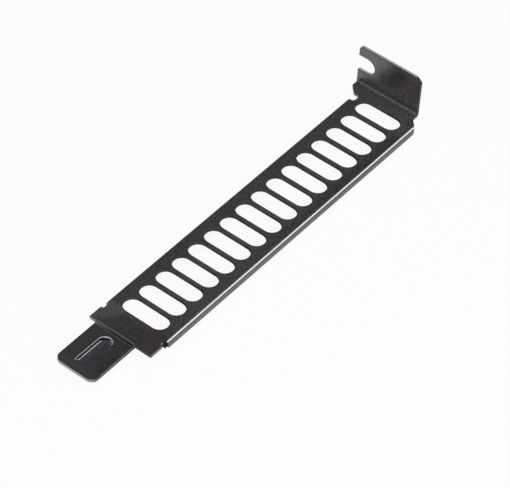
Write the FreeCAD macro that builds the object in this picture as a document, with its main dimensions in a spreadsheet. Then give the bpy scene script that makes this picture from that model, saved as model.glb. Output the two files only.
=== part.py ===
import FreeCAD, Part
import math
import os
import Sketcher

os.makedirs("parts", exist_ok=True)
doc = FreeCAD.newDocument("SlotCover")
sheet = doc.addObject("Spreadsheet::Sheet", "Sizes")


class Size:
    """A length that carries its value and the spreadsheet formula behind it."""

    def __init__(self, value, formula):
        self.value = value
        self.formula = formula

    def joined(self, sign, other, value):
        return Size(value, f"({self.formula} {sign} {other.formula})")

    def __add__(self, other):
        other = as_size(other)
        return self.joined("+", other, self.value + other.value)

    def __sub__(self, other):
        other = as_size(other)
        return self.joined("-", other, self.value - other.value)

    def __mul__(self, other):
        other = as_size(other)
        return self.joined("*", other, self.value * other.value)

    def __truediv__(self, other):
        other = as_size(other)
        return self.joined("/", other, self.value / other.value)

    def __neg__(self):
        return Size(-self.value, f"(0 - {self.formula})")


def as_size(item):
    return item if isinstance(item, Size) else Size(item, f"({item})")


names = []


def size(name, value):
    """Write one driving dimension in the spreadsheet and return it."""
    names.append(name)
    row = len(names)
    sheet.set(f"A{row}", name.replace("_", " "))
    sheet.set(f"B{row}", str(value))
    sheet.setAlias(f"B{row}", name)
    return Size(value, f"Sizes.{name}")


# Driving dimensions in millimetres
thickness = size("sheet_thickness", 0.86)
overall_length = size("overall_length", 120.02)
face_width = size("width_over_flanges", 19.1)

tongue_length = size("tongue_length", 14.2)
tongue_width = size("tongue_width", 11.67)
tongue_shift = size("tongue_shift", 1.84)
tongue_corner = size("tongue_corner_radius", 1.95)
joggle_depth = size("joggle_depth", 1.08)

shoulder_inset = size("shoulder_inset", 0.25)
shoulder_length = size("shoulder_length", 4.02)
relief_corner = size("relief_corner_radius", 0.45)
right_relief = size("right_relief_length", 1.8)
left_relief = size("left_relief_length", 2.25)

flange_depth = size("flange_depth", 2.27)
flange_bend = size("flange_bend_radius", 0.1)
flange_corner = size("flange_corner_radius", 0.71)
right_flange_gap = size("right_flange_end_gap", 4.77)
left_flange_gap = size("left_flange_end_gap", 7.17)

ear_width = size("neck_ear_width", 0.46)
ear_length = size("neck_ear_length", 0.6)
ear_corner = size("neck_ear_corner_radius", 0.5)
neck_notch_length = size("neck_notch_length", 2.6)
neck_notch_depth = size("neck_notch_depth", 0.88)
neck_flare = size("neck_flare_start", 1.0)
neck_corner = size("neck_corner_radius", 0.5)

slot_count = size("slot_count", 16)
slot_rib = size("slot_rib_width", 0.98)
slot_side_gap = size("slot_side_gap", 2.1)
first_slot_gap = size("first_slot_gap", 6.83)
last_slot_gap = size("last_slot_gap", 4.84)

tab_height = size("tab_height", 11.92)
tab_width = size("tab_width", 18.9)
tab_shift = size("tab_shift", 2.15)
tab_bend = size("tab_bend_radius", 0.3)
tab_corner = size("tab_corner_radius", 0.93)
tab_chamfer_across = size("tab_chamfer_across", 1.46)
tab_chamfer_down = size("tab_chamfer_down", 1.26)
chamfer_corner = size("tab_chamfer_corner_radius", 0.8)
notch_width = size("screw_notch_width", 4.74)
notch_depth = size("screw_notch_depth", 5.06)
notch_height = size("screw_notch_height", 6.65)

lance_width = size("lance_width", 3.8)
lance_side_gap = size("lance_side_gap", 4.14)
lance_start = size("lance_start", 2.4)
lance_end_gap = size("lance_end_gap", 1.05)
lance_ramp = size("lance_ramp_length", 1.9)
lance_drop = size("lance_drop", 1.5)
lance_slit = size("lance_slit_width", 0.08)
doc.recompute()

# Places worked out from the driving dimensions, with the tongue's end at y = 0 and the panel's outer face at z = 0
zero = as_size(0)
margin = tab_height
flange_outer = face_width / 2
bend_outer = flange_bend + thickness
bend_line = flange_outer - bend_outer
shoulder_side = flange_outer - shoulder_inset
shoulder_end = tongue_length + shoulder_length
right_flange_start = shoulder_end + right_relief
left_flange_start = shoulder_end + left_relief
right_flange_end = overall_length - right_flange_gap
left_flange_end = overall_length - left_flange_gap
tongue_left = -(tongue_shift + tongue_width / 2)
tongue_right = tongue_width / 2 - tongue_shift
tongue_under = -(joggle_depth + thickness)
joggle_outer = joggle_depth * 0.55
joggle_inner = joggle_depth * 0.2
root = tongue_length + thickness * 2
tab_left = -(tab_shift + tab_width / 2)
tab_right = tab_width / 2 - tab_shift
tab_inner = overall_length - thickness
tab_clear = tab_bend + thickness
ear_right = bend_line + ear_width
ear_top = right_flange_end + ear_length
neck_notch_end = -(bend_line - neck_notch_depth)
neck_notch_top = left_flange_end + neck_notch_length
neck_notch_corner = neck_notch_depth * 0.9
flare_left = -(bend_line + neck_flare)
slot_pitch = (overall_length - tongue_length - first_slot_gap - last_slot_gap + slot_rib) / slot_count
slot_radius = (slot_pitch - slot_rib) / 2
slot_side = bend_line - slot_side_gap
slot_low = tongue_length + first_slot_gap
slot_high = slot_low + slot_radius * 2
notch_radius = notch_width / 2
notch_end = tab_left + notch_depth
notch_low = notch_height - notch_radius
notch_high = notch_height + notch_radius
lance_hinge = tongue_right - lance_side_gap
lance_left = lance_hinge - lance_width
lance_top = tongue_length - lance_end_gap
lance_radius = lance_width / 2
lowest = tongue_under - lance_drop


def new_body(name, label):
    body = doc.addObject("PartDesign::Body", name)
    body.Label = label
    return body


def sketch_on(body, role, name, offset=zero):
    """Start a sketch on one of the body's own planes, moved out along its normal by offset."""
    sketch = body.newObject("Sketcher::SketchObject", name)
    plane = next(item for item in body.Origin.OriginFeatures if item.Role == role)
    sketch.AttachmentSupport = [(plane, "")]
    sketch.MapMode = "FlatFace"
    sketch.setExpression("AttachmentOffset.Base.z", offset.formula)
    return sketch


def pin(sketch, geometry, point, kind, distance):
    """Hold a point of the sketch at a distance from its origin, bound to the spreadsheet."""
    index = sketch.addConstraint(Sketcher.Constraint(kind, -1, 1, geometry, point, distance.value))
    sketch.setExpression(f"Constraints[{index}]", distance.formula)


def vector(place):
    return FreeCAD.Vector(place[0].value, place[1].value, 0)


def add_line(sketch, start, end):
    geometry = sketch.addGeometry(Part.LineSegment(vector(start), vector(end)))
    return geometry, 1, 2, start


def add_arc(sketch, start, end, centre, left_turn):
    """Add an arc from start to end, whose centre is held across the line between them."""
    first, last = (start, end) if left_turn else (end, start)
    spokes = [vector(place) - vector(centre) for place in (first, last)]
    angles = [math.atan2(spoke.y, spoke.x) for spoke in spokes]
    circle = Part.Circle(vector(centre), FreeCAD.Vector(0, 0, 1), spokes[0].Length)
    geometry = sketch.addGeometry(Part.ArcOfCircle(circle, *angles))
    chord = spokes[1] - spokes[0]
    if abs(chord.y) > abs(chord.x):
        pin(sketch, geometry, 3, "DistanceX", centre[0])
    else:
        pin(sketch, geometry, 3, "DistanceY", centre[1])
    return (geometry, 1, 2, start) if left_turn else (geometry, 2, 1, start)


def close_loop(sketch, curves):
    """Join the curves end to start and pin every join."""
    for index, (geometry, first, _, start) in enumerate(curves):
        before, _, last, _ = curves[index - 1]
        sketch.addConstraint(Sketcher.Constraint("Coincident", before, last, geometry, first))
        pin(sketch, geometry, first, "DistanceX", start[0])
        pin(sketch, geometry, first, "DistanceY", start[1])


def rounded(before, corner, after, radius):
    """Return where a round corner starts and ends, its centre, and whether it turns left."""
    into = (vector(corner) - vector(before)).normalize()
    out = (vector(after) - vector(corner)).normalize()
    turn = into.getAngle(out)
    cut = math.tan(turn / 2)
    reach = 1 / (math.cos(turn / 2) * (out - into).Length)
    start = [place - radius * (step * cut) for place, step in zip(corner, into)]
    end = [place + radius * (step * cut) for place, step in zip(corner, out)]
    centre = [place + radius * (step * reach) for place, step in zip(corner, out - into)]
    return start, end, centre, into.cross(out).z > 0


def outline(sketch, corners):
    """Draw a closed outline through corners, each (across, along) or (across, along, radius)."""
    turns = []
    for index, corner in enumerate(corners):
        if len(corner) == 2:
            turns.append((corner, corner, None, True))
        else:
            before = corners[index - 1]
            after = corners[(index + 1) % len(corners)]
            turns.append(rounded(before[:2], corner[:2], after[:2], corner[2]))
    curves = []
    for index, (start, end, centre, left_turn) in enumerate(turns):
        if centre is not None:
            curves.append(add_arc(sketch, start, end, centre, left_turn))
        after = turns[(index + 1) % len(turns)][0]
        if (vector(after) - vector(end)).Length > 1e-6:
            curves.append(add_line(sketch, end, after))
    close_loop(sketch, curves)


def pad(body, sketch, name, length, symmetric=False):
    feature = body.newObject("PartDesign::Pad", name)
    feature.Profile = sketch
    feature.SideType = "Symmetric" if symmetric else "One side"
    feature.Reversed = not symmetric
    feature.setExpression("Length", length.formula)
    doc.recompute()
    return feature


def cut_through(body, sketch, name):
    """Cut the sketch through the whole body, both ways."""
    feature = body.newObject("PartDesign::Pocket", name)
    feature.Profile = sketch
    feature.SideType = "Symmetric"
    feature.setExpression("Length", (overall_length * 3).formula)
    doc.recompute()
    return feature


def round_edges(body, feature, name, radius, chosen):
    """Round the feature's straight edges whose bounding box passes the test."""
    edges = [f"Edge{number}" for number, edge in enumerate(feature.Shape.Edges, 1) if chosen(edge.BoundBox)]
    fillet = body.newObject("PartDesign::Fillet", name)
    fillet.Base = (feature, edges)
    fillet.setExpression("Radius", radius.formula)
    doc.recompute()
    return fillet


# Panel and tab, folded from one strip that is wider than the finished sheet
cover = new_body("SlotCover", "slot_cover")
fold = sketch_on(cover, "YZ_Plane", "FoldProfile")
outline(fold, [
    (tongue_length, -thickness),
    (overall_length, -thickness, tab_clear),
    (overall_length, tab_height),
    (tab_inner, tab_height),
    (tab_inner, zero, tab_bend),
    (tongue_length, zero),
])
pad(cover, fold, "FoldedStrip", face_width + tab_width, symmetric=True)

# The panel's outline from above: shoulder, relief notches, the neck's shift to the left and the tongue's root
plan = sketch_on(cover, "XY_Plane", "PlanOutline")
outline(plan, [
    (tab_left - face_width, zero),
    (tab_right + face_width, zero),
    (tab_right + face_width, overall_length + margin),
    (tab_left - face_width, overall_length + margin),
])
outline(plan, [
    (tongue_right, tongue_length),
    (shoulder_side, tongue_length),
    (shoulder_side, shoulder_end),
    (bend_line, shoulder_end, relief_corner),
    (bend_line, right_flange_end),
    (ear_right, right_flange_end),
    (ear_right, ear_top, ear_corner),
    (tab_right, ear_top + ear_right - tab_right),
    (tab_right, overall_length + thickness),
    (tab_left, overall_length + thickness),
    (tab_left, neck_notch_top + flare_left - tab_left, neck_corner),
    (flare_left, neck_notch_top),
    (neck_notch_end, neck_notch_top, neck_notch_corner),
    (neck_notch_end, left_flange_end, neck_notch_corner),
    (-bend_line, left_flange_end),
    (-bend_line, shoulder_end, relief_corner),
    (-shoulder_side, shoulder_end),
    (-shoulder_side, tongue_length),
    (tongue_left, tongue_length),
    (tongue_left, root),
    (tongue_right, root),
])
cut_through(cover, plan, "CutOutline")

# The tab's outline from the front: a rounded corner, a chamfer and the screw notch, open to the left
tab = sketch_on(cover, "XZ_Plane", "TabOutline")
outline(tab, [
    (tab_left - margin, tab_clear),
    (tab_left, tab_clear),
    (tab_left, notch_low),
    (notch_end, notch_low, notch_radius),
    (notch_end, notch_high, notch_radius),
    (tab_left, notch_high),
    (tab_left, tab_height, tab_corner),
    (tab_right - tab_chamfer_across, tab_height, chamfer_corner),
    (tab_right, tab_height - tab_chamfer_down, chamfer_corner),
    (tab_right, tab_clear),
    (tab_right + margin, tab_clear),
    (tab_right + margin, tab_height + margin),
    (tab_left - margin, tab_height + margin),
])
cut_through(cover, tab, "CutTab")

# The tongue, set down below the panel by a sharp joggle
step = sketch_on(cover, "YZ_Plane", "TongueProfile", -tongue_shift)
outline(step, [
    (zero, tongue_under),
    (tongue_length + thickness, tongue_under, joggle_outer),
    (tongue_length + thickness, -thickness, joggle_inner),
    (root, -thickness),
    (root, zero),
    (tongue_length, zero, joggle_outer),
    (tongue_length, -joggle_depth, joggle_inner),
    (zero, -joggle_depth),
])
tongue = pad(cover, step, "Tongue", tongue_width, symmetric=True)


def upright_at_tip(box):
    return box.YMax < 1e-6 and box.XLength < 1e-6


round_edges(cover, tongue, "TongueCorners", tongue_corner, upright_at_tip)

# The two side flanges, each bent down from the panel's edge
for name, side, start, end in (
    ("RightFlange", 1, right_flange_start, right_flange_end),
    ("LeftFlange", -1, left_flange_start, left_flange_end),
):
    profile = sketch_on(cover, "XZ_Plane", f"{name}Profile", -start)
    outline(profile, [
        (bend_line * side, zero),
        (flange_outer * side, zero, bend_outer),
        (flange_outer * side, -flange_depth),
        ((flange_outer - thickness) * side, -flange_depth),
        ((flange_outer - thickness) * side, -thickness, flange_bend),
        (bend_line * side, -thickness),
    ])
    flange = pad(cover, profile, name, end - start)


def across_flange_bottom(box):
    at_bottom = abs(box.ZMin + flange_depth.value) < 1e-6 and box.ZLength < 1e-6
    return at_bottom and box.YLength < 1e-6


round_edges(cover, flange, "FlangeCorners", flange_corner, across_flange_bottom)

# The row of round-ended slots across the panel
slot = sketch_on(cover, "XY_Plane", "SlotOutline")
outline(slot, [
    (-slot_side, slot_low, slot_radius),
    (slot_side, slot_low, slot_radius),
    (slot_side, slot_high, slot_radius),
    (-slot_side, slot_high, slot_radius),
])
first_slot = cut_through(cover, slot, "Slot")
row = cover.newObject("PartDesign::LinearPattern", "SlotRow")
row.Originals = [first_slot]
row.Direction = (slot, ["V_Axis"])
row.setExpression("Length", (slot_pitch * (slot_count - 1)).formula)
row.setExpression("Occurrences", slot_count.formula)
cover.Tip = row
doc.recompute()


def lance_outline(sketch, slit):
    """Draw the lance from above: straight at the hinge and the start, round at the end."""
    outline(sketch, [
        (lance_left - slit, lance_start),
        (lance_hinge, lance_start),
        (lance_hinge, lance_top - lance_radius),
        (lance_hinge + slit, lance_top - lance_radius),
        (lance_hinge + slit, lance_top + slit, lance_radius + slit),
        (lance_left - slit, lance_top + slit, lance_radius + slit),
    ])


# The window that the lance leaves in the tongue
window = sketch_on(cover, "XY_Plane", "LanceWindow")
lance_outline(window, lance_slit)
cut_through(cover, window, "CutWindow")

# The lanced flap, bent down about its hinge and formed down from its start
flap = new_body("LanceFlap", "lance_flap")


def flap_section(name, place, drop):
    """Draw the flap's section at a place along the tongue: it dips at the hinge and is level at its free edge."""
    section = sketch_on(flap, "XZ_Plane", name, -place)
    radius = (lance_width * lance_width / drop + drop) / 2
    hinge_top = (lance_hinge, -joggle_depth)
    edge_top = (lance_left, -joggle_depth - drop)
    edge_under = (lance_left, tongue_under - drop)
    hinge_under = (lance_hinge, tongue_under)
    close_loop(section, [
        add_arc(section, hinge_top, edge_top, (lance_left, -joggle_depth - drop + radius), False),
        add_line(section, edge_top, edge_under),
        add_arc(section, edge_under, hinge_under, (lance_left, tongue_under - drop + radius), True),
        add_line(section, hinge_under, hinge_top),
    ])
    return section


RAMP_STEPS = 5
LEAST_DROP = 0.02
sections = []
for number in range(RAMP_STEPS + 1):
    part = number / RAMP_STEPS
    share = max(math.sin(math.pi / 2 * part) ** 2, LEAST_DROP)
    sections.append(flap_section(f"RampSection{number}", lance_start + lance_ramp * part, lance_drop * share))
ramp = flap.newObject("PartDesign::AdditiveLoft", "FlapRamp")
ramp.Profile = sections[0]
ramp.Sections = sections[1:]
doc.recompute()
run = flap_section("RunSection", lance_start + lance_ramp, lance_drop)
pad(flap, run, "FlapRun", lance_top - lance_start - lance_ramp)
trim = sketch_on(flap, "XY_Plane", "FlapOutline")
outline(trim, [
    (lance_left - margin, zero),
    (lance_hinge + margin, zero),
    (lance_hinge + margin, lance_top + margin),
    (lance_left - margin, lance_top + margin),
])
lance_outline(trim, zero)
cut_through(flap, trim, "TrimFlap")

join = cover.newObject("PartDesign::Boolean", "JoinFlap")
join.Type = "Fuse"
join.setObjects([flap])
cover.Tip = join

# The finished cover stands with the middle of its bounding box over the origin and its lowest point at z = 0
cover.setExpression("Placement.Base.x", ((tab_left + flange_outer) / -2).formula)
cover.setExpression("Placement.Base.y", (overall_length / -2).formula)
cover.setExpression("Placement.Base.z", (-lowest).formula)
doc.recompute()

# Nothing is written if any object of the document has failed
for item in doc.Objects:
    if "Invalid" in item.State or "Error" in item.State:
        raise RuntimeError(f"{item.Name} failed: {item.State}")
shape = cover.Shape
if shape.isNull() or not shape.isValid() or len(shape.Solids) != 1:
    raise RuntimeError("the cover isn't one valid solid")
shape.exportStep(f"parts/{cover.Label}.step")
print(cover.Label, "volume", round(shape.Volume, 2), shape.BoundBox)
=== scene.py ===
"""The look of a folded steel cover for an unused expansion slot, lying on a pale studio floor.

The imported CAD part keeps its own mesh. This script gives it the black coated finish, with lighter
cut edges, and adds the floor, the soft lights and the camera. Lengths and places in the materials are
in millimetres, in the part's own frame, and those of the studio are in metres.
"""

import math

import bpy
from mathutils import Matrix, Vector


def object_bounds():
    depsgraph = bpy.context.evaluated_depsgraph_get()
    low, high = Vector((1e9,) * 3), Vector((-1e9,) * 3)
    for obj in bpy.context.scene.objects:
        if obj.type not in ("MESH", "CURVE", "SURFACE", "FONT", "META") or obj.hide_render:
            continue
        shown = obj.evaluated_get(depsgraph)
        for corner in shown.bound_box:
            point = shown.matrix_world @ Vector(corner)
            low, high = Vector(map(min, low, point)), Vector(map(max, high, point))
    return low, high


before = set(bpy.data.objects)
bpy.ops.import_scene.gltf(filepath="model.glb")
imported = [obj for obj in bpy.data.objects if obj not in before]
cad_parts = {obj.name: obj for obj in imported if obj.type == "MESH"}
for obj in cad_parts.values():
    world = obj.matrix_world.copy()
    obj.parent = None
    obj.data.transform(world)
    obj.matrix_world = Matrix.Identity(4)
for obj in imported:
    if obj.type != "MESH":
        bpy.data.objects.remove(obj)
cad_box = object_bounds()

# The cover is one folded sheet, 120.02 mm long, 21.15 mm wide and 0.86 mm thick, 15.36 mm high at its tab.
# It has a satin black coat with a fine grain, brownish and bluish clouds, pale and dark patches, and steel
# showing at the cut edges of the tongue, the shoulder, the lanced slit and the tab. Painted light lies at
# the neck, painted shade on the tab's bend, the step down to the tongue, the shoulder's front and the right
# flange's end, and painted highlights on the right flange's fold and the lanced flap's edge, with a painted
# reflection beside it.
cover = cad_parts["slot_cover"]
thickness = 0.86
tongue_length = 14.2
shoulder_length = 4.02
right_relief = 1.8
tab_height = 11.92
low_corner, high_corner = cad_box
right_side = 1000.0 * high_corner[0]
tongue_end = 1000.0 * low_corner[1]
shoulder_edge = tongue_end + tongue_length
flange_end = shoulder_edge + shoulder_length + right_relief
tab_face = 1000.0 * high_corner[1] - thickness
panel_face = 1000.0 * high_corner[2] - tab_height


class Value:
    """A number, colour or place that a shader works out. It adds and multiplies like a plain one."""

    def __init__(self, tree, socket=None):
        self.tree = tree
        self.socket = socket

    def feed(self, target, source):
        """Links a value to a node's input, or sets a plain number or colour on it."""
        if isinstance(source, Value):
            self.tree.links.new(source.socket, target)
        else:
            target.default_value = source

    def node(self, kind, settings=None, inputs=None, output=0):
        """Any shader node, with its settings, its inputs by name or number, and one of its outputs."""
        made = self.tree.nodes.new(kind)
        for name, setting in (settings or {}).items():
            setattr(made, name, setting)
        for name, source in (inputs or {}).items():
            self.feed(made.inputs[name], source)
        return Value(self.tree, made.outputs[output])

    def math(self, operation, other=0.0):
        """A Math node, or a Vector Math node where this value is a place."""
        if self.socket.type == "VECTOR":
            if not isinstance(other, Value):
                other = (other, other, other)
            return self.node("ShaderNodeVectorMath", {"operation": operation}, {0: self, 1: other})
        return self.node("ShaderNodeMath", {"operation": operation}, {0: self, 1: other})

    def __add__(self, other):
        return self.math("ADD", other)

    __radd__ = __add__

    def __mul__(self, other):
        return self.math("MULTIPLY", other)

    __rmul__ = __mul__

    def __sub__(self, other):
        return self.math("SUBTRACT", other)

    def __rsub__(self, other):
        return self * -1.0 + other

    def __or__(self, other):
        """The greater of the two, which joins two masks."""
        return self.math("MAXIMUM", other)

    def size(self):
        """The value without its sign."""
        return self.math("ABSOLUTE")

    def capped(self):
        """The value, but never above 1."""
        return self.math("MINIMUM", 1.0)

    def place(self):
        """The place on the object that has the material, in millimetres."""
        return self.node("ShaderNodeTexCoord", output="Object") * 1000.0

    def part(self, axis):
        """One coordinate of a place."""
        return self.node("ShaderNodeSeparateXYZ", inputs={0: self}, output=axis)

    def noise(self, scale, detail):
        """Soft random values between 0 and 1 with about that many swings in a millimetre."""
        return self.node("ShaderNodeTexNoise", inputs={"Vector": self, "Scale": scale, "Detail": detail})

    def rise(self, start, end):
        """0 at start and 1 at end, with a smooth rise between. End may be the lower one."""
        limits = {"Value": self, "From Min": start, "From Max": end}
        return self.node("ShaderNodeMapRange", {"interpolation_type": "SMOOTHSTEP"}, limits)

    def within(self, low, high, edge):
        """1 between low and high and 0 outside them, with a smooth rise this wide inside each end."""
        return self.rise(low, low + edge) * self.rise(high, high - edge)

    def near(self, centre, reach):
        """1 at the centre and 0 farther than the reach from it."""
        return (self - centre).size().rise(reach, 0.0)

    def spot(self, centre, reach, core):
        """1 inside the core of a round spot and 0 outside its reach."""
        settings = {"operation": "DISTANCE"}
        distance = self.node("ShaderNodeVectorMath", settings, {0: self, 1: centre}, "Value")
        return distance.rise(reach, core)

    def mix(self, first, second):
        """The colour between the first, where this value is 0, and the second, where it is 1."""
        amount, colour_a, colour_b, result = 0, 6, 7, 2
        sources = {amount: self, colour_a: first, colour_b: second}
        return self.node("ShaderNodeMix", {"data_type": "RGBA"}, sources, result)

    def tint(self, colour):
        """The colour made this many times as bright."""
        return self.node("ShaderNodeVectorMath", {"operation": "SCALE"}, {0: colour, "Scale": self})


coat = bpy.data.materials.new("coated_steel_look")
coat.use_nodes = True
coat_shader = coat.node_tree.nodes["Principled BSDF"]
surface = Value(coat.node_tree)
place = surface.place()
x = place.part("X")
y = place.part("Y")
height = place.part("Z") - panel_face
facing = surface.node("ShaderNodeTexCoord", output="Normal")
upright = facing.part("Z").size()
along = facing.part("Y").size()
rightward = facing.part("X")
on_panel = height.near(0.0, reach=0.3)
on_tongue = y.rise(shoulder_edge + 0.1, shoulder_edge - 0.1)
on_tab = y.rise(tab_face - 0.35, tab_face - 0.15)

# The coat has a grain of about 0.6 mm and a finer one, and clouds of about 12 mm tint it brown or blue.
cool_black = (0.0385, 0.0385, 0.0400, 1.0)
warm_black = (0.0440, 0.0400, 0.0385, 1.0)
grain = place.noise(1.7, detail=3.0)
fine_grain = place.noise(7.0, detail=1.0)
cloud = place.noise(0.085, detail=2.0)
drift = place.noise(0.21, detail=2.0)
neutral = y.rise(flange_end + 0.5, flange_end - 1.0) * x.rise(6.0, 2.0)
tone = (cloud.rise(0.40, 0.60) * (1.0 - 0.8 * neutral)).mix(cool_black, warm_black)

# It is a little paler between the slots and at the tongue's tip, and the neck is painted paler as light
# thrown back from the tab. The strip right of the slots darkens towards the tab. Below the flanges the coat
# is smoother, and paler on the left.
ribs = x.near(2.2, reach=7.2) * y.within(-38.5, 56.0, edge=4.0) * on_panel
neck_bounce_light = (y.rise(51.5, 56.0) | y.rise(48.0, 53.0) * x.rise(6.0, 8.5)) * on_panel
neck_bounce_light = neck_bounce_light * (0.14 + 0.24 * y.rise(55.2, 53.8) + 0.08 * y.rise(56.8, 57.6))
tip = y.rise(tongue_end + 4.0, tongue_end + 1.5)
right_strip = x.rise(7.0, 9.0) * (0.12 - 0.42 * y.rise(-30.0, 45.0))
lower_end = y.rise(flange_end - 0.3, flange_end - 1.1)
lower_end = lower_end | y.rise(flange_end + 2.0, flange_end + 0.5) * x.rise(5.0, 7.0)
to_the_right = x.rise(-0.5, 5.0) * (0.14 + 0.10 * y.rise(shoulder_edge + 0.3, shoulder_edge - 0.2))
strength = (2.10 - 0.90 * lower_end) * grain + 0.30 * drift - 0.20
strength = strength + 0.40 * ribs + neck_bounce_light + right_strip + (0.27 - to_the_right) * lower_end + 0.22 * tip
colour = strength.tint(tone)

# A pale haze lies on the left of the shoulder and round the screw notch.
shoulder_haze_colour = (0.100, 0.100, 0.103, 1.0)
tab_haze_colour = (0.110, 0.109, 0.106, 1.0)
haze = place.spot((-10.5, -38.5, panel_face), reach=8.6, core=6.4) * y.rise(-37.8, -39.3)
haze = haze * (0.2 + 0.9 * grain) + 0.35 * place.spot((-9.0, -45.0, panel_face), reach=3.0, core=0.5)
tab_haze = place.spot((-9.0, tab_face, panel_face + 11.0), reach=8.0, core=2.0)
colour = (0.66 * haze).mix(colour, shoulder_haze_colour)
colour = (0.06 * tab_haze).mix(colour, tab_haze_colour)

# A dark patch lies on the upper middle of the tab, and brown stains on its edge and the shoulder's right.
tab_dark_patch_colour = (0.012, 0.011, 0.011, 1.0)
tab_brown_colour = (0.042, 0.030, 0.027, 1.0)
shoulder_brown_colour = (0.033, 0.025, 0.023, 1.0)
wavy = place + 3.0 * (place.noise(0.26, detail=2.0) - 0.5)
tab_dark_patch = wavy.spot((2.1, tab_face, panel_face + 9.2), reach=3.4, core=0.4)
tab_dark_patch = tab_dark_patch | wavy.spot((0.4, tab_face, panel_face + 6.8), reach=3.5, core=0.4)
tab_dark_patch = tab_dark_patch | 0.4 * wavy.spot((-2.5, tab_face, panel_face + 6.0), reach=3.0, core=0.8)
tab_brown = place.spot((8.5, tab_face, panel_face + 8.8), reach=5.5, core=1.0)
shoulder_brown = place.spot((8.5, -41.5, panel_face), reach=6.8, core=2.0)
colour = (0.85 * tab_dark_patch).mix(colour, tab_dark_patch_colour)
colour = (0.50 * tab_brown).mix(colour, tab_brown_colour)
colour = (0.60 * shoulder_brown).mix(colour, shoulder_brown_colour)

# The press left a dark line on each side of the tab's bend. The bend itself is painted darker as shade,
# with a pale line in it.
fold_shade_colour = (0.020, 0.0195, 0.019, 1.0)
pale_fold_line_colour = (0.270, 0.270, 0.270, 1.0)
fold_shade = (along * upright).rise(0.10, 0.45) * y.rise(tab_face - 2.15, tab_face - 1.15)
tab_line = height.near(1.66, reach=0.30) * on_tab
panel_line = y.near(tab_face - 0.88, reach=0.26) * height.near(0.0, reach=0.1)
pale_fold_line = height.near(0.37, reach=0.20) * y.rise(tab_face - 0.55, tab_face - 0.35) * (0.6 + 0.8 * grain)
colour = (0.8 * fold_shade).mix(colour, fold_shade_colour)
colour = pale_fold_line.mix(colour, pale_fold_line_colour)

# The steel shows where the sheet was cut, at the tongue and the shoulder, and most on the faces that look
# along the cover. The fold of the right flange is painted as bright steel, a painted highlight that adds to
# the one the back light draws there.
bare_steel = (0.33, 0.325, 0.32, 1.0)
fold_highlight_steel = (0.53, 0.53, 0.53, 1.0)
width_over_flanges = 19.1
tongue_width = 11.67
tongue_shift = 1.84
tongue_right = right_side - width_over_flanges / 2 - tongue_shift + tongue_width / 2
tongue_left = tongue_right - tongue_width
joggle_depth = 1.08
tongue_face = -joggle_depth
tongue_under = tongue_face - thickness
panel_under = -thickness
lance_width = 3.8
lance_side_gap = 4.14
lance_start_gap = 2.4
lance_end_gap = 1.05
hinge = tongue_right - lance_side_gap
slit_left = hinge - lance_width
slit_start = tongue_end + lance_start_gap
slit_top = shoulder_edge - lance_end_gap
slit_area = x.within(slit_left - 0.2, hinge + 0.2, edge=0.1)
slit_area = slit_area * y.within(slit_start - 0.2, slit_top + 0.2, edge=0.1)
cut = upright.rise(0.55, 0.35)
end_on = along.rise(0.3, 0.8)
tongue_cut = cut * on_tongue * height.rise(tongue_under - 0.16, tongue_under + 0.04) * (1.0 - slit_area)
shoulder_cut = cut * y.rise(flange_end - 0.5, flange_end - 1.2)
shoulder_cut = shoulder_cut * height.rise(panel_under - 0.14, panel_under + 0.06)
# The shoulder's front faces right of the tongue's left side get no steel, as painted shade.
shoulder_cut = shoulder_cut * (1.0 - end_on * x.rise(tongue_left, tongue_left + 0.05))
tongue_rim = x.within(tongue_right - 0.18, tongue_right + 0.02, edge=0.04)
tongue_rim = tongue_rim * y.within(tongue_end + 2.5, shoulder_edge - 0.1, edge=0.5)
tongue_rim = tongue_rim * height.near(tongue_face, reach=0.06)
bare = tongue_cut | (0.60 + 0.20 * end_on) * shoulder_cut | tongue_rim
bare = (bare * (0.62 + 0.18 * end_on) * (0.35 + 1.1 * grain)).capped()
# Painted highlight: bright steel along the right flange's fold.
flange_fold_highlight = rightward.rise(0.48, 0.64) * upright.rise(0.50, 0.62)
flange_fold_highlight = flange_fold_highlight * x.rise(right_side - 1.07, right_side - 0.77) * height.rise(-1.5, -1.2)
colour = bare.mix(colour, bare_steel)
colour = (0.9 * flange_fold_highlight).mix(colour, fold_highlight_steel)

# The tab's top and left edges and its screw notch are brighter, and so is the wall of the lanced slit.
low_on_tab = (0.62, 0.61, 0.60, 1.0)
high_on_tab = (0.42, 0.41, 0.40, 1.0)
slit_steel = (0.62, 0.63, 0.67, 1.0)
tab_steel = height.rise(5.0, 6.0).mix(low_on_tab, high_on_tab)
tab_cut = along.rise(0.6, 0.4) * height.rise(2.5, 3.2) * rightward.rise(0.5, 0.3)
tab_cut = tab_cut * y.rise(tab_face + 0.15, tab_face + 0.35)
tab_cut = tab_cut * (0.6 + 0.8 * grain) * (1.0 - 0.6 * y.near(tab_face + 0.55, reach=0.12))
slit_wall = slit_area * cut * height.within(-2.10, -1.38, edge=0.06)
slit_wall = slit_wall * y.rise(slit_start + 0.31, slit_start + 0.61)
colour = tab_cut.capped().mix(colour, tab_steel)
colour = slit_wall.mix(colour, slit_steel)

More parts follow.
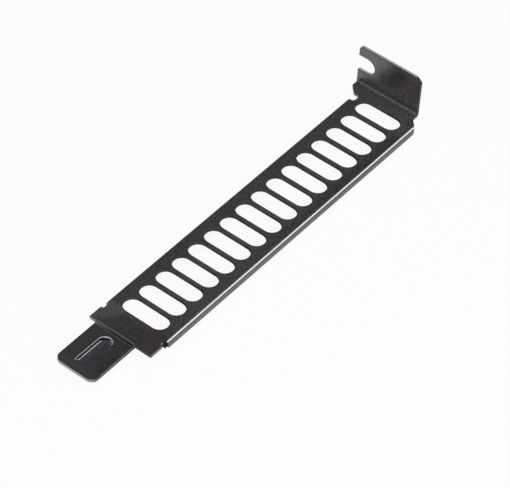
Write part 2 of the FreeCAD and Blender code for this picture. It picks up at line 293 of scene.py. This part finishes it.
# The flap is dark, with a painted highlight along its free edge and the right of its round end, and a
# bluish painted reflection in a band beside it.
flap_colour = (0.015, 0.014, 0.013, 1.0)
band_reflection_colour = (0.030, 0.032, 0.048, 1.0)
rim_highlight_colour = (0.80, 0.80, 0.83, 1.0)
flap_radius = lance_width / 2
end_centre = (slit_left + flap_radius, slit_top - flap_radius, 0.0)
flap = slit_area * height.rise(tongue_face - 0.04, tongue_face - 0.08) * upright.rise(0.3, 0.5)
from_above = surface.node("ShaderNodeCombineXYZ", inputs={0: x, 1: y})
end_middle = from_above.spot(end_centre, reach=flap_radius - 0.20, core=flap_radius - 0.35)
rim_highlight = flap * x.rise(slit_left + 0.36, slit_left + 0.22) * y.within(slit_start, slit_top - 0.64, edge=0.6)
end_rim_highlight = flap * (1.0 - end_middle) * x.rise(-1.2, -0.4) * y.rise(-49.0, -48.6)
flap_highlight = rim_highlight | 0.8 * end_rim_highlight
band_reflection = flap * x.rise(-0.4, -1.8)
colour = flap.mix(colour, flap_colour)
colour = (0.7 * band_reflection).mix(colour, band_reflection_colour)
colour = (0.8 * flap_highlight).mix(colour, rim_highlight_colour)

# A dark, dull coat that keeps the shine off is painted as shade on the step down to the tongue, standing
# for its shadow, on the tab's bend, on the shoulder's front right of the tongue and on the right flange's
# end. It also darkens the lines beside the tab's bend, the lower rim of the cut sides, and the tab's right
# side with the corner cut beside it.
dull_marks_and_shade_colour = (0.014, 0.013, 0.013, 1.0)
# Painted shadow of the step down to the tongue.
step_shadow = x.within(tongue_left + 0.65, tongue_right - 0.02, edge=0.1)
step_shadow = step_shadow * y.within(shoulder_edge - 1.69, shoulder_edge + 0.11, edge=0.1)
step_shadow = step_shadow * height.near(-0.5, reach=0.54).rise(0.0, 0.1)
step_shadow = step_shadow * (0.20 + 0.62 * (height.rise(-0.65, -0.95) | x.rise(-4.0, -1.0)))
tab_side = rightward.rise(0.3, 0.5) * on_tab
tongue_low_rim = rightward.rise(0.6, 0.8) * height.rise(-1.62, -1.68) * on_tongue
shoulder_low_rim = cut * height.rise(-0.54, -0.60) * x.rise(tongue_right + 0.08, tongue_right + 0.28)
shoulder_low_rim = shoulder_low_rim * y.rise(flange_end - 1.5, flange_end - 1.8)
flange_low_rim = rightward.rise(0.8, 0.95) * height.rise(-1.9, -2.1)
flange_low_rim = flange_low_rim * x.rise(right_side - 0.37, right_side - 0.17)
low_rim = 0.6 * tongue_low_rim | 0.9 * shoulder_low_rim | 0.4 * flange_low_rim
# Painted shade on the shoulder's front right of the tongue and on the right flange's end.
shoulder_front_shade = end_on * y.near(shoulder_edge, reach=0.4)
shoulder_front_shade = shoulder_front_shade * x.rise(tongue_right + 0.03, tongue_right + 0.13)
flange_end_shade = end_on * y.near(flange_end, reach=0.6) * x.rise(9.4, 9.6)
dull_marks_and_shade = step_shadow | tab_side | low_rim | 0.25 * shoulder_front_shade | 0.3 * flange_end_shade
dull_marks_and_shade = dull_marks_and_shade | 0.45 * fold_shade * (1.0 - pale_fold_line) | 0.6 * tab_line | 0.35 * panel_line
colour = dull_marks_and_shade.mix(colour, dull_marks_and_shade_colour)

# The coat's fine grain is 0.02 mm deep. It is left out on the right flange's painted bright fold, and the
# flap is rougher.
grain_depth = 0.02
smooth = 1.0 - flange_fold_highlight
grain_sources = {"Height": fine_grain * smooth, "Strength": 0.30, "Distance": grain_depth / 1000.0}
relief = surface.node("ShaderNodeBump", inputs=grain_sources)
roughness = 0.20 + 0.08 * drift + 0.06 * grain + 0.40 * flap * (1.0 - flap_highlight)
surface.feed(coat_shader.inputs["Base Color"], colour)
surface.feed(coat_shader.inputs["Metallic"], 0.5 * bare | 0.75 * flange_fold_highlight | 0.8 * dull_marks_and_shade)
surface.feed(coat_shader.inputs["Roughness"], roughness)
surface.feed(coat_shader.inputs["Normal"], relief)
coat_shader.inputs["Specular IOR Level"].default_value = 0.95
cover.data.materials.clear()
cover.data.materials.append(coat)

# The floor is a plain pale sheet of paper that looks white, as the photograph's background does. It is dark
# in the deep shade right under the lanced slit and beside the right flange's end.
paper_colour = (0.85, 0.85, 0.85, 1.0)
slit_shade_colour = (0.02, 0.02, 0.02, 1.0)
corner_shade_colour = (0.09, 0.09, 0.09, 1.0)
bpy.ops.mesh.primitive_plane_add(size=6.0, location=(0.0, 0.0, 0.0))
floor = bpy.context.object
floor.name = "studio_floor"
paper = bpy.data.materials.new("studio_paper")
paper.use_nodes = True
paper_tree = paper.node_tree
paper_shader = paper_tree.nodes["Principled BSDF"]
paper_shader.inputs["Roughness"].default_value = 0.9
paper_shader.inputs["Specular IOR Level"].default_value = 0.0
paper_look = Value(paper_tree)
paper_place = paper_look.place()
across = paper_place.part("X")
lengthways = paper_place.part("Y")
under_slit = across.within(-4.6, -1.8, edge=0.6) * lengthways.within(-58.4, -44.8, edge=0.6)
under_end = across.within(-4.6, 2.0, edge=0.6) * lengthways.within(-48.6, -44.4, edge=0.6)
in_corner = across.within(7.9, 9.6, edge=0.3) * lengthways.within(-39.8, -37.4, edge=0.3)
shaded = under_slit | under_end | in_corner
shade_colour = in_corner.mix(slit_shade_colour, corner_shade_colour)
paper_look.feed(paper_shader.inputs["Base Color"], shaded.mix(paper_colour, shade_colour))

# The camera sees the paper almost plain white. Its mirror image in the cover's sides is white on the left,
# less so on the right, and nearly black under the cover.
below = across.within(-8.5, 10.5, edge=1.0) * lengthways.within(-60.0, 60.0, edge=1.0)
mirror_white = 1.0 - 0.35 * across.rise(-4.0, 12.0) - 0.85 * below + 0.12 * across.rise(10.6, 11.0)
seen = paper_look.node("ShaderNodeLightPath", output="Is Camera Ray")
mirrored = paper_look.node("ShaderNodeLightPath", output="Is Glossy Ray")
lit = Value(paper_tree, paper_shader.outputs[0])
white = paper_look.node("ShaderNodeEmission", inputs={"Strength": 1.0})
black = paper_look.node("ShaderNodeEmission", inputs={"Strength": 0.0})
glow = paper_look.node("ShaderNodeMixShader", inputs={0: mirror_white | seen, 1: black, 2: white})
glow_share = 0.9 * seen * (1.0 - shaded) | mirrored
shown = paper_look.node("ShaderNodeMixShader", inputs={0: glow_share, 1: lit, 2: glow})
paper_look.feed(paper_tree.nodes["Material Output"].inputs["Surface"], shown)
floor.data.materials.append(paper)


# The lights are two soft panels that point at the cover from a metre away. The front one gives most of the
# light, and the back one draws the bright line along the fold of the right flange, helped there by painted
# bright steel.
def soft_panel(name, direction, width, height, brightness):
    """A soft light panel in a direction from the cover. Its brightness is what a mirror would show."""
    light = bpy.data.lights.new(name, "AREA")
    light.shape = "RECTANGLE"
    light.size = width
    light.size_y = height
    light.energy = brightness * math.pi * width * height
    panel = bpy.data.objects.new(name, light)
    length = math.sqrt(sum(part * part for part in direction))
    panel.location = [part / length for part in direction]
    panel.rotation_euler = panel.location.to_track_quat("Z", "Y").to_euler()
    bpy.context.collection.objects.link(panel)


soft_panel("top_front_softbox", (0.50, -0.60, 0.62), width=2.60, height=2.60, brightness=1.65)
soft_panel("back_softbox", (0.72, 0.56, 0.42), width=0.72, height=0.60, brightness=2.0)

# The room beyond them is an even, dim grey.
world = bpy.data.worlds.new("studio_room")
world.use_nodes = True
room = world.node_tree.nodes["Background"]
room.inputs["Color"].default_value = (1.0, 1.0, 1.0, 1.0)
room.inputs["Strength"].default_value = 0.10
bpy.context.scene.world = world
bpy.context.scene.view_settings.view_transform = "Standard"

# The camera stands 674 mm away, to the right of the tongue's end and 46 degrees up.
lens = bpy.data.cameras.new("photo_camera")
lens.sensor_width = 36.0
lens.lens = 198.247
lens.clip_start = 0.01
lens.clip_end = 20.0
camera = bpy.data.objects.new("photo_camera", lens)
camera.location = (0.278848, -0.378402, 0.483346)
camera.rotation_euler = (0.768009, -0.047817, 0.677242)
bpy.context.collection.objects.link(camera)
bpy.context.scene.camera = camera
